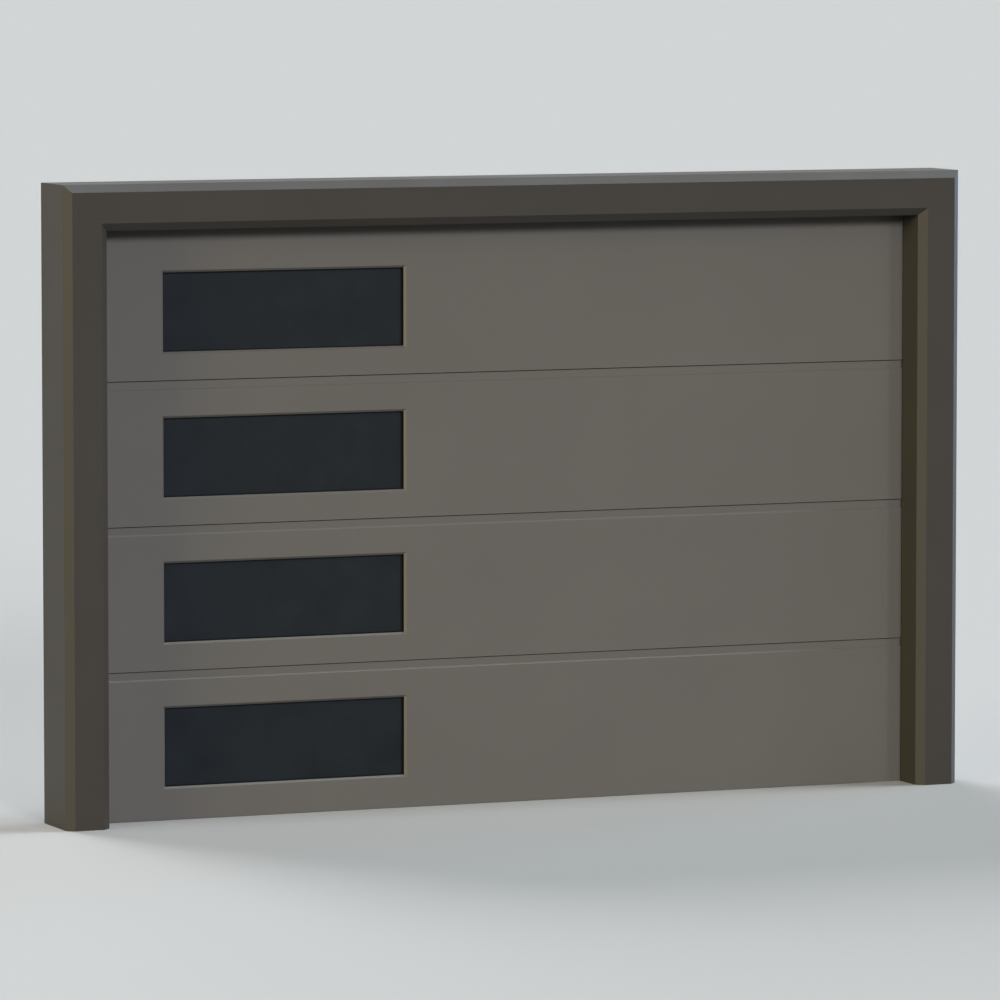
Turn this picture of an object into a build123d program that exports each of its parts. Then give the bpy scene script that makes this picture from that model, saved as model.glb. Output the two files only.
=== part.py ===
"""A sectional garage door, closed, in its chamfered surround.

Four insulated sections stand on each other with tongue and groove joints. Each has one dark
window left of centre. Inside, hinges join the sections, and rollers on both edges run in a
vertical track beside each jamb.

Millimetres. X runs along the door, Y from the street into the garage, Z up. The origin is on
the floor, midway between the jambs and midway through the depth of the surround.
"""

import os
from math import asin, degrees, sqrt

from build123d import *

# Clear opening between the jambs and under the head
opening_width = 3000.0
opening_height = 2000.0

# Surround: one hollow extrusion for both jambs and the head, mitred at the corners
surround_face = 155.0
surround_depth = 240.0
surround_chamfer = 26.0
surround_wall = 3.0
rebate_width = 65.0  # room beside and over the opening for the tracks

# Leaf
leaf_setback = 148.0  # from the front of the surround to the face of the leaf
leaf_thickness = 42.0
leaf_lap = 20.0  # how far the leaf reaches behind the jambs and the head
seal_thickness = 6.0  # between the lip of the surround and the face of the leaf
seal_width = 14.0
seal_inset = 1.5  # from the edge of the opening to the seal
section_count = 4
bottom_offset = 16.5  # what the bottom section is taller than the pitch by
top_offset = 23.5  # what shows of the top section above its pitch

# Joint between two sections
joint_gap = 3.0
strip_height = 31.0  # from the joint line down to where the recessed strip under it meets the face
strip_rise = 5.0  # height of the sloping shoulder under the strip
strip_depth = 5.0
tongue_setback = 11.0  # from the face of the leaf to the tongue
tongue_width = 20.0
tongue_side = 5.0  # straight height of the tongue above the joint line
tongue_crown = 9.0
groove_clearance = 2.0

# Foot of the bottom section and its seal
foot_lip_thickness = 6.0
foot_lip_clearance = 1.0
foot_seal_height = 24.0
foot_seal_width = 32.0
foot_seal_wall = 3.0
foot_seal_corner = 10.0

# Windows: the opening in each section, measured at the inner edge of its chamfer
window_width = 871.0
window_left = 245.5  # from the edge of the left jamb to the window
window_sill = 97.0  # from the bottom of the section's pitch to the window
window_head = 126.0  # from the window to the top of the section's pitch
window_chamfer = 7.0
gasket_thickness = 2.0
gasket_lip = 1.0  # bevel on the front edge of the gasket
pane_setback = 22.0  # from the face of the leaf to the outer pane
pane_thickness = 4.0
pane_edge_clearance = 1.0
spacer_thickness = 8.0
spacer_width = 10.0
frame_overlap = 24.0  # how far the inner frame laps the section round the window
frame_rib = 14.0  # how far the inner frame laps the pane
frame_thickness = 5.0
frame_corner = 10.0
frame_chamfer = 2.0

# End caps: folded sheet on both ends of each section
cap_sheet = 1.5
cap_leg = 70.0
cap_end_gap = 5.0

# Hinges, brackets, rollers and tracks
pivot_standoff = 18.0  # from the back of the leaf to the hinge pivots and roller stems
pin_radius = 5.0
pin_clearance = 0.05
hinge_width = 60.0
hinge_plate = 2.5
hinge_leaf_height = 46.0
hinge_bend = 20.0  # from the pivot to the bend where the sheet leaves the flat of its leaf
hinge_roll = 300.0  # degrees that the sheet is rolled round the pin
knuckle_width = 15.0
knuckle_gap = 1.0
hinge_corner = 5.0
pin_head_radius = 7.0
pin_head_length = 2.0
centre_hinge_count = 2
centre_hinge_spacing = 1000.0
end_hinge_inset = 36.0  # from the end of the leaf to the middle of an end hinge
bracket_height = 96.0
bracket_barrel = 44.0  # length of the barrel that holds the stem
bottom_roller_height = 66.0
top_roller_drop = 70.0  # from the top of the leaf to the top rollers
wheel_radius = 20.0
wheel_width = 14.0
wheel_chamfer = 1.5
wheel_hub_radius = 10.0
wheel_hub_extra = 1.5
track_sheet = 2.0
track_clearance = 1.0  # between a wheel and each flange of its track
track_width = 32.0
track_lip = 9.0
track_bend = 3.0  # radius of the middle of the sheet at each bend
track_floor_gap = 3.0
track_top_gap = 4.0
track_hole_radius = 4.5
track_splice_spacing = 60.0
track_splice_drop = 30.0

# Holes in the rear wall of the surround for the cleats that tie it to the building
fixing_radius = 5.5
jamb_fixing_low = 300.0
jamb_fixing_spacing = 460.0
jamb_fixing_count = 4
head_fixing_spacing = 850.0
head_fixing_count = 4

# Places worked out from the sizes above
section_pitch = (opening_height - bottom_offset - top_offset) / section_count
window_height = section_pitch - window_sill - window_head
half_opening = opening_width / 2
outer_half = half_opening + surround_face
outer_top = opening_height + surround_face
front_y = -surround_depth / 2
back_y = surround_depth / 2
leaf_face = front_y + leaf_setback
leaf_back = leaf_face + leaf_thickness
lip_back = leaf_face - seal_thickness
leaf_half = half_opening + leaf_lap
leaf_top = opening_height + leaf_lap
cap_face = leaf_half + cap_sheet
cap_back = leaf_back + cap_sheet
pivot_y = leaf_back + pivot_standoff
rebate_face = half_opening + rebate_width
rebate_top = opening_height + rebate_width
tongue_front = leaf_face + tongue_setback
tongue_back = tongue_front + tongue_width
window_x = window_left - half_opening
fixing_line = (rebate_width + surround_face) / 2
track_inner_y = wheel_radius + track_clearance
wheel_x = rebate_face - track_sheet - (track_width - track_sheet) / 2 - wheel_width / 2
stem_inner_x = leaf_half - end_hinge_inset - hinge_width / 2
end_hinge_x = leaf_half - end_hinge_inset
bottom_bracket_z = bottom_roller_height
top_bracket_z = leaf_top - top_roller_drop


def joint_height(number):
    """Height of the joint line on top of a section; the bottom section is number 1."""
    return bottom_offset + section_pitch * number


def spread(count, spacing):
    """Places of a row of evenly spaced things, centred on nought."""
    return [spacing * (i - (count - 1) / 2) for i in range(count)]


joint_heights = [joint_height(number) for number in range(1, section_count)]
roller_heights = [bottom_bracket_z, *joint_heights, top_bracket_z]
centre_hinge_places = spread(centre_hinge_count, centre_hinge_spacing)


def save(part, name):
    """Labels a finished piece and writes it to its own file."""
    part.label = name
    export_step(part, f"parts/{name}.step")


def surround_profile(plane):
    """Draws the extrusion's section: local x runs away from the opening, local y into the garage."""
    with BuildSketch(plane) as profile:
        with BuildLine():
            Polyline(
                (surround_chamfer, front_y),
                (surround_face - surround_chamfer, front_y),
                (surround_face, front_y + surround_chamfer),
                (surround_face, back_y),
                (rebate_width, back_y),
                (rebate_width, lip_back),
                (0, lip_back),
                (0, front_y + surround_chamfer),
                close=True,
            )
        make_face()
        with BuildLine():
            Polyline(
                (surround_chamfer, front_y),
                (surround_face - surround_chamfer, front_y),
                (surround_face, front_y + surround_chamfer),
                (surround_face, lip_back),
                (0, lip_back),
                (0, front_y + surround_chamfer),
                close=True,
            )
        front_chamber = make_face(mode=Mode.PRIVATE)
        offset(front_chamber, amount=-surround_wall, kind=Kind.INTERSECTION, mode=Mode.SUBTRACT)
        chamber_width = surround_face - rebate_width - 2 * surround_wall
        chamber_depth = back_y - surround_wall - lip_back
        with Locations((rebate_width + surround_wall, lip_back)):
            Rectangle(chamber_width, chamber_depth, align=Align.MIN, mode=Mode.SUBTRACT)
    return profile.sketch


def make_jamb():
    """The right jamb: upright extrusion with a mitred top and a row of holes in its rear wall."""
    heights = [jamb_fixing_low + jamb_fixing_spacing * i for i in range(jamb_fixing_count)]
    mitre = Plane(origin=(half_opening, 0, opening_height), z_dir=(1, 0, -1))
    with BuildPart() as jamb:
        extrude(surround_profile(Plane((half_opening, 0, 0))), amount=outer_top)
        split(bisect_by=mitre, keep=Keep.TOP)
        with BuildSketch(Plane.XZ.offset(-back_y)):
            with Locations([(half_opening + fixing_line, z) for z in heights]):
                Circle(fixing_radius)
        extrude(amount=surround_wall, mode=Mode.SUBTRACT)
    return jamb


def make_head():
    """The head: the same extrusion laid across the opening, mitred at both ends."""
    places = spread(head_fixing_count, head_fixing_spacing)
    start = Plane(origin=(outer_half, 0, opening_height), x_dir=(0, 0, 1), z_dir=(-1, 0, 0))
    right_mitre = Plane(origin=(half_opening, 0, opening_height), z_dir=(-1, 0, 1))
    left_mitre = Plane(origin=(-half_opening, 0, opening_height), z_dir=(1, 0, 1))
    with BuildPart() as head:
        extrude(surround_profile(start), amount=2 * outer_half)
        split(bisect_by=right_mitre, keep=Keep.TOP)
        split(bisect_by=left_mitre, keep=Keep.TOP)
        with BuildSketch(Plane.XZ.offset(-back_y)):
            with Locations([(x, opening_height + fixing_line) for x in places]):
                Circle(fixing_radius)
        extrude(amount=surround_wall, mode=Mode.SUBTRACT)
    return head


def make_edge_seal(plane, length):
    """A rubber strip behind the lip of the surround, rounded towards the opening."""
    with BuildPart() as seal:
        with BuildSketch(plane) as profile:
            with Locations((seal_inset, lip_back)):
                Rectangle(seal_width, seal_thickness, align=Align.MIN)
            fillet(profile.vertices().sort_by(Axis.X)[:2], seal_thickness / 3)
        extrude(amount=length)
    return seal


def section_outline(number):
    """Draws a section's profile on the YZ plane at its left end: y into the garage, z up."""
    low = joint_height(number - 1)
    high = joint_height(number)
    half_gap = joint_gap / 2
    with BuildSketch(Plane.YZ.offset(-leaf_half)) as outline:
        with BuildLine():
            if number == 1:
                foot = Polyline(
                    (leaf_back, foot_seal_height),
                    (leaf_face + foot_lip_thickness, foot_seal_height),
                    (leaf_face + foot_lip_thickness, foot_lip_clearance),
                    (leaf_face, foot_lip_clearance),
                )
            else:
                groove_front = tongue_front - groove_clearance
                groove_back = tongue_back + groove_clearance
                groove_side = low + tongue_side + groove_clearance
                inner = Polyline(
                    (leaf_back, low + half_gap),
                    (groove_back, low + half_gap),
                    (groove_back, groove_side),
                )
                ThreePointArc(
                    inner @ 1,
                    ((groove_front + groove_back) / 2, groove_side + tongue_crown),
                    (groove_front, groove_side),
                )
                foot = Polyline(
                    (groove_front, groove_side),
                    (groove_front, low + half_gap),
                    (leaf_face, low + half_gap),
                )
            if number == section_count:
                Polyline(
                    foot @ 1,
                    (leaf_face, leaf_top),
                    (leaf_back, leaf_top),
                    (leaf_back, (foot_seal_height if number == 1 else low + half_gap)),
                )
            else:
                face = Polyline(
                    foot @ 1,
                    (leaf_face, high - strip_height),
                    (leaf_face + strip_depth, high - strip_height + strip_rise),
                    (leaf_face + strip_depth, high - half_gap),
                    (tongue_front, high - half_gap),
                    (tongue_front, high + tongue_side),
                )
                crown = ThreePointArc(
                    face @ 1,
                    ((tongue_front + tongue_back) / 2, high + tongue_side + tongue_crown),
                    (tongue_back, high + tongue_side),
                )
                Polyline(
                    crown @ 1,
                    (tongue_back, high - half_gap),
                    (leaf_back, high - half_gap),
                    (leaf_back, (foot_seal_height if number == 1 else low + half_gap)),
                )
        make_face()
    return outline.sketch


def window_sketch(number, depth, grow, corner=0):
    """Draws a window's rectangle, larger by grow on each side, on a plane behind the leaf's face."""
    sill = joint_height(number - 1) + window_sill
    with BuildSketch(Plane.XZ.offset(-(leaf_face + depth))) as sketch:
        with Locations((window_x - grow, sill - grow)):
            Rectangle(window_width + 2 * grow, window_height + 2 * grow, align=Align.MIN)
        if corner:
            fillet(sketch.vertices(), corner)
    return sketch.sketch


def make_section(number):
    """One section: its profile drawn out to the leaf's width, with a chamfered window opening."""
    with BuildPart() as section:
        extrude(section_outline(number), amount=2 * leaf_half)
        extrude(window_sketch(number, 0, 0), amount=-leaf_thickness, mode=Mode.SUBTRACT)
        rim = (
            section.edges()
            .filter_by_position(Axis.Y, leaf_face - 0.1, leaf_face + 0.1)
            .filter_by_position(Axis.X, window_x - 0.1, window_x + window_width + 0.1)
        )
        chamfer(rim, window_chamfer)
    return section


def make_window_ring(number, depth, thickness, outer, inner):
    """A rectangular ring in a window opening; outer and inner are growths of the opening."""
    with BuildPart() as ring:
        extrude(window_sketch(number, depth, outer), amount=-thickness)
        extrude(window_sketch(number, depth, inner), amount=-thickness, mode=Mode.SUBTRACT)
    return ring


def make_gasket(number):
    """The rubber between the chamfer of a window and its outer pane, bevelled towards the street."""
    depth = window_chamfer
    with BuildPart() as gasket:
        add(make_window_ring(number, depth, pane_setback - depth, 0, -gasket_thickness).part)
        front = gasket.faces().sort_by(Axis.Y)[0]
        chamfer(front.inner_wires()[0].edges(), gasket_lip)
    return gasket


def make_panes(number):
    """The outer and inner panes of one window."""
    inner_depth = pane_setback + pane_thickness + spacer_thickness
    with BuildPart() as panes:
        for depth in (pane_setback, inner_depth):
            extrude(window_sketch(number, depth, -pane_edge_clearance), amount=-pane_thickness)
    return panes


def make_window_frame(number):
    """The frame that holds the panes in from inside: a flat face with a rib in the opening."""
    rib_depth = pane_setback + 2 * pane_thickness + spacer_thickness
    rib_height = leaf_thickness - rib_depth
    with BuildPart() as frame:
        extrude(window_sketch(number, leaf_thickness, frame_overlap, frame_corner), amount=-frame_thickness)
        outer_rim = frame.faces().sort_by(Axis.Y)[-1].edges()
        chamfer(outer_rim, frame_chamfer)
        extrude(window_sketch(number, rib_depth, -pane_edge_clearance), amount=-rib_height)
        opening = window_sketch(number, rib_depth, -frame_rib)
        extrude(opening, amount=-(rib_height + frame_thickness), mode=Mode.SUBTRACT)
    return frame


def make_end_caps(number):
    """Folded sheet caps on both ends of one section."""
    low = foot_seal_height if number == 1 else joint_height(number - 1) + cap_end_gap
    high = leaf_top if number == section_count else joint_height(number) - cap_end_gap
    with BuildPart() as caps:
        with BuildSketch(Plane.XY.offset(low)) as caps_profile:
            with BuildLine():
                Polyline(
                    (leaf_half, tongue_front),
                    (cap_face, tongue_front),
                    (cap_face, cap_back),
                    (cap_face - cap_leg, cap_back),
                    (cap_face - cap_leg, leaf_back),
                    (leaf_half, leaf_back),
                    close=True,
                )
            make_face()
            bend = caps_profile.vertices().group_by(Axis.X)[-1].sort_by(Axis.Y)[-1]
            fillet(bend, cap_sheet)
        extrude(amount=high - low)
        mirror(about=Plane.YZ)
    return caps


def knuckle_sketch(x, base_y, height, side):
    """Draws a strip of sheet rolled round the pin from a leaf above (side 1) or below (side -1) it."""
    sheet_y = base_y + hinge_plate / 2
    bend = height + side * hinge_bend
    roll_radius = pin_radius + pin_clearance + hinge_plate / 2
    reach = Vector(pivot_y - sheet_y, height - bend)
    web_length = sqrt(reach.length**2 - roll_radius**2)
    web_turn = degrees(asin(roll_radius / reach.length))
    with BuildSketch(Plane.YZ.offset(x)) as knuckle:
        with BuildLine():
            Line((sheet_y, bend + side * hinge_plate), (sheet_y, bend))
            web = PolarLine((sheet_y, bend), web_length, direction=reach.rotate(Axis.Z, side * web_turn))
            JernArc(web @ 1, web % 1, roll_radius, -side * hinge_roll)
        trace(line_width=hinge_plate)
    return knuckle.sketch


def leaf_plate(x, base_y, height, side, plate_height):
    """Draws the flat of a hinge leaf or bracket, with rounded corners at the end away from the pivot."""
    middle = height + side * (hinge_bend + plate_height / 2)
    with BuildSketch(Plane.XZ.offset(-base_y)) as plate:
        with Locations((x, middle)):
            Rectangle(hinge_width, plate_height)
        far_end = plate.vertices().group_by(Axis.Y)[-1 if side > 0 else 0]
        fillet(far_end, hinge_corner)
    return plate.sketch


outer_knuckles = [
    (-hinge_width / 2, knuckle_width),
    (hinge_width / 2 - knuckle_width, knuckle_width),
]
inner_width = hinge_width - 2 * (knuckle_width + knuckle_gap)
inner_knuckle = [(-inner_width / 2, inner_width)]


def make_hinge_leaves(height, side, knuckles):
    """All the hinge leaves of one joint that are above it (side 1) or below it (side -1)."""
    places = [(x, leaf_back) for x in centre_hinge_places]
    places += [(x, cap_back) for x in (-end_hinge_x, end_hinge_x)]
    with BuildPart() as leaves:
        for x, base_y in places:
            extrude(leaf_plate(x, base_y, height, side, hinge_leaf_height), amount=-hinge_plate)
            for start, width in knuckles:
                extrude(knuckle_sketch(x + start, base_y, height, side), amount=width)
    return leaves


def round_bar(x, height, radius, length):
    """Makes a round bar along X at the depth of the pivots."""
    with BuildSketch(Plane.YZ.offset(x)) as end:
        with Locations((pivot_y, height)):
            Circle(radius)
    return extrude(end.sketch, amount=length, mode=Mode.PRIVATE)


def make_hinge_pins(height):
    """The pins of the centre hinges of one joint, each with a head at its left end."""
    with BuildPart() as pins:
        for x in centre_hinge_places:
            left = x - hinge_width / 2
            add(round_bar(left, height, pin_radius, hinge_width + pin_head_length))
            add(round_bar(left - pin_head_length, height, pin_head_radius, pin_head_length))
    return pins


def make_brackets(height, side):
    """The pair of roller brackets at the bottom or the top of the leaf."""
    with BuildPart() as brackets:
        extrude(leaf_plate(end_hinge_x, cap_back, height, side, bracket_height), amount=-hinge_plate)
        barrel_start = end_hinge_x - bracket_barrel / 2
        extrude(knuckle_sketch(barrel_start, cap_back, height, side), amount=bracket_barrel)
        mirror(about=Plane.YZ)
    return brackets


def make_stems():
    """The roller stems: each runs through an end hinge or a bracket into the hub of its wheel."""
    stem_length = wheel_x + wheel_width - stem_inner_x
    with BuildPart() as stems:
        for height in roller_heights:
            add(round_bar(stem_inner_x, height, pin_radius, stem_length))
        mirror(about=Plane.YZ)
    return stems


def make_wheels():
    """The roller wheels, each turned from one profile with a hub that stands proud towards the leaf."""
    bore = pin_radius + pin_clearance
    with BuildPart() as wheels:
        for height in roller_heights:
            turning_plane = Plane(origin=(wheel_x, pivot_y, height), x_dir=(1, 0, 0), z_dir=(0, 1, 0))
            with BuildSketch(turning_plane):
                with BuildLine():
                    Polyline(
                        (-wheel_hub_extra, bore),
                        (-wheel_hub_extra, wheel_hub_radius),
                        (0, wheel_hub_radius + wheel_hub_extra),
                        (0, wheel_radius - wheel_chamfer),
                        (wheel_chamfer, wheel_radius),
                        (wheel_width - wheel_chamfer, wheel_radius),
                        (wheel_width, wheel_radius - wheel_chamfer),
                        (wheel_width, bore),
                        close=True,
                    )
                make_face()
            revolve(axis=Axis((wheel_x, pivot_y, height), (1, 0, 0)))
        mirror(about=Plane.YZ)
    return wheels


def make_track():
    """The right track: a rolled channel on the jamb, its mouth towards the leaf."""
    track_height = rebate_top - track_top_gap - track_floor_gap
    splice = [rebate_top - track_top_gap - track_splice_drop - track_splice_spacing * i for i in range(2)]
    back_x = rebate_face - track_sheet / 2
    mouth_x = rebate_face - track_width + track_sheet / 2
    flange = track_inner_y + track_sheet / 2
    lip_end = track_inner_y + track_sheet - track_lip
    with BuildPart() as track:
        with BuildSketch(Plane.XY.offset(track_floor_gap)):
            with BuildLine():
                FilletPolyline(
                    (mouth_x, pivot_y - lip_end),
                    (mouth_x, pivot_y - flange),
                    (back_x, pivot_y - flange),
                    (back_x, pivot_y + flange),
                    (mouth_x, pivot_y + flange),
                    (mouth_x, pivot_y + lip_end),
                    radius=track_bend,
                )
            trace(line_width=track_sheet)
        extrude(amount=track_height)
        with BuildSketch(Plane.XZ.offset(-(pivot_y + track_inner_y))):
            with Locations([(rebate_face - track_width / 2, z) for z in splice]):
                Circle(track_hole_radius)
        extrude(amount=-track_sheet, mode=Mode.SUBTRACT)
    return track


def make_foot_seal():
    """The rubber seal under the bottom section: a hollow bulb with rounded lower corners."""
    left = leaf_face + foot_lip_thickness + (leaf_thickness - foot_lip_thickness - foot_seal_width) / 2
    with BuildPart() as seal:
        with BuildSketch(Plane.YZ.offset(-leaf_half)) as profile:
            with Locations((left, 0)):
                Rectangle(foot_seal_width, foot_seal_height, align=Align.MIN)
            fillet(profile.vertices().group_by(Axis.Y)[0], foot_seal_corner)
            offset(amount=-foot_seal_wall, mode=Mode.SUBTRACT)
        extrude(amount=2 * leaf_half)
    return seal


def main():
    """Makes every piece and writes it."""
    os.makedirs("parts", exist_ok=True)

    jamb = make_jamb()
    save(jamb.part, "frame_jamb_right")
    save(mirror(jamb.part, about=Plane.YZ), "frame_jamb_left")
    save(make_head().part, "frame_head")

    side_seal = make_edge_seal(Plane((half_opening, 0, 0)), opening_height + seal_inset)
    save(side_seal.part, "seal_right")
    save(mirror(side_seal.part, about=Plane.YZ), "seal_left")
    head_plane = Plane(origin=(leaf_half, 0, opening_height), x_dir=(0, 0, 1), z_dir=(-1, 0, 0))
    save(make_edge_seal(head_plane, 2 * leaf_half).part, "seal_head")
    save(make_foot_seal().part, "seal_foot")

    track = make_track()
    save(track.part, "track_right")
    save(mirror(track.part, about=Plane.YZ), "track_left")

    spacer_depth = pane_setback + pane_thickness
    for number in range(1, section_count + 1):
        save(make_section(number).part, f"section_{number}")
        save(make_end_caps(number).part, f"end_caps_{number}")
        save(make_gasket(number).part, f"window_gasket_{number}")
        save(make_panes(number).part, f"window_panes_{number}")
        save(make_window_frame(number).part, f"window_frame_{number}")

    with BuildPart() as spacers:
        for number in range(1, section_count + 1):
            add(
                make_window_ring(
                    number,
                    spacer_depth,
                    spacer_thickness,
                    -pane_edge_clearance,
                    -pane_edge_clearance - spacer_width,
                ).part
            )
    save(spacers.part, "window_spacers")

    for number, height in enumerate(joint_heights, start=1):
        save(make_hinge_leaves(height, -1, outer_knuckles).part, f"hinge_lower_leaves_{number}")
        save(make_hinge_leaves(height, 1, inner_knuckle).part, f"hinge_upper_leaves_{number}")
        save(make_hinge_pins(height).part, f"hinge_pins_{number}")

    save(make_brackets(bottom_bracket_z, 1).part, "bottom_brackets")
    save(make_brackets(top_bracket_z, -1).part, "top_brackets")
    save(make_stems().part, "roller_stems")
    save(make_wheels().part, "roller_wheels")


main()
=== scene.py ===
"""Looks of a sectional garage door in its chamfered surround.

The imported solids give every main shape. This script gives each of them its finish, adds the small
fasteners that hold the ironmongery, and sets up a plain studio with the camera at the photograph's
viewing angle. Metres, +X along the door, +Y from the street into the garage, +Z up.
"""

from __future__ import annotations

import logging
import math
from abc import ABC, abstractmethod
from collections.abc import Callable, Iterable
from dataclasses import dataclass
from enum import Enum

import bmesh
import bpy
from mathutils import Matrix, Vector

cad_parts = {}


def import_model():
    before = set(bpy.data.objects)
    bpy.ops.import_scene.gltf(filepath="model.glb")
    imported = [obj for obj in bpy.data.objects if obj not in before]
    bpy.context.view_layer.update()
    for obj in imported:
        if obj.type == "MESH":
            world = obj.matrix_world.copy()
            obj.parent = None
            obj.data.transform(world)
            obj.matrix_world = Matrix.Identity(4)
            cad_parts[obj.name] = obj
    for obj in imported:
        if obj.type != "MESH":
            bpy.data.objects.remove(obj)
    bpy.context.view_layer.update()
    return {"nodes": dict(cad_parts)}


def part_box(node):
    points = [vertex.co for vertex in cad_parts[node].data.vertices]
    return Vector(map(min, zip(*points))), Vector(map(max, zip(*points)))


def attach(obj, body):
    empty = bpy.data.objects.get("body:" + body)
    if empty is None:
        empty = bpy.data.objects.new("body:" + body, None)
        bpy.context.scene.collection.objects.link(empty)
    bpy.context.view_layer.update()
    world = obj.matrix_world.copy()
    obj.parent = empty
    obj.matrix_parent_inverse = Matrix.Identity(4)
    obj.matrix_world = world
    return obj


log = logging.getLogger("garage_door")

MILLIMETRE = 0.001
Colour = tuple[float, float, float]


class Slot(Enum):
    """The record's material slots."""

    FRAME = "frame"
    LEAF = "leaf"
    SEAL = "seal"
    PANE = "pane"
    WINDOW_FRAME = "window_frame"
    SPACER = "spacer"
    GALVANISED = "galvanised"
    STEEL = "steel"
    WHEEL = "wheel"


class Grain(Enum):
    """The direction in which a profile was drawn or rolled, as a stretch of its pattern."""

    UPRIGHT = (1.0, 1.0, 0.02)
    LEVEL = (0.02, 1.0, 1.0)


@dataclass(frozen=True)
class Box:
    """The lowest and highest corner of one solid."""

    low: Vector
    high: Vector

    @property
    def centre(self) -> Vector:
        """The middle of the box."""
        return (self.low + self.high) / 2


def solid_boxes(node: bpy.types.Object) -> list[Box]:
    """Finds the separate solids of a node.

    Args:
        node: A CAD node, whose mesh is loose triangles.

    Returns:
        The box of each solid, from the lowest left one upwards.
    """
    mesh = bmesh.new()
    mesh.from_mesh(node.data)
    bmesh.ops.remove_doubles(mesh, verts=mesh.verts, dist=0.001 * MILLIMETRE)
    waiting = set(mesh.verts)
    boxes = []
    while waiting:
        group = [waiting.pop()]
        for vertex in group:
            for edge in vertex.link_edges:
                other = edge.other_vert(vertex)
                if other in waiting:
                    waiting.remove(other)
                    group.append(other)
        places = [vertex.co for vertex in group]
        low = Vector(min(place[axis] for place in places) for axis in range(3))
        high = Vector(max(place[axis] for place in places) for axis in range(3))
        boxes.append(Box(low, high))
    mesh.free()
    return sorted(boxes, key=lambda box: (round(box.low.z, 4), box.low.x))


class Graph:
    """A node tree, with short ways to add nodes and join them."""

    def __init__(self, owner: bpy.types.Material | bpy.types.World) -> None:
        """Clears the tree.

        Args:
            owner: The material or world that it belongs to.
        """
        owner.use_nodes = True
        self.tree = owner.node_tree
        self.tree.nodes.clear()

    def add(self, kind: str, inputs: dict | None = None, **settings: object) -> bpy.types.Node:
        """Adds a node.

        Args:
            kind: The node's type.
            inputs: A value or a socket for each input, by name or number.
            settings: The node's own settings.

        Returns:
            The new node.
        """
        node = self.tree.nodes.new(kind)
        for name, value in settings.items():
            setattr(node, name, value)
        for name, value in (inputs or {}).items():
            self.feed(node, name, value)
        return node

    def feed(self, node: bpy.types.Node, name: str | int, value: object) -> None:
        """Sets an input of a node.

        Args:
            node: The node.
            name: The input's name or number.
            value: A socket to join to it, or a plain value.
        """
        if isinstance(value, bpy.types.NodeSocket):
            self.tree.links.new(value, node.inputs[name])
        else:
            node.inputs[name].default_value = value

    def math(self, operation: str, first: object, second: object = 0.0) -> bpy.types.NodeSocket:
        """Joins two numbers by an operation and returns the result's socket."""
        return self.add("ShaderNodeMath", {0: first, 1: second}, operation=operation).outputs[0]

    def seen(self) -> bpy.types.NodeSocket:
        """Tells what the camera sees from what only lights something else.

        Returns:
            A socket that is 1 for the camera, also in gloss or through glass, and else 0.
        """
        rays = self.add("ShaderNodeLightPath").outputs
        either = self.math("MAXIMUM", rays["Is Camera Ray"], rays["Is Glossy Ray"])
        return self.math("MAXIMUM", either, rays["Is Transmission Ray"])


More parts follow.
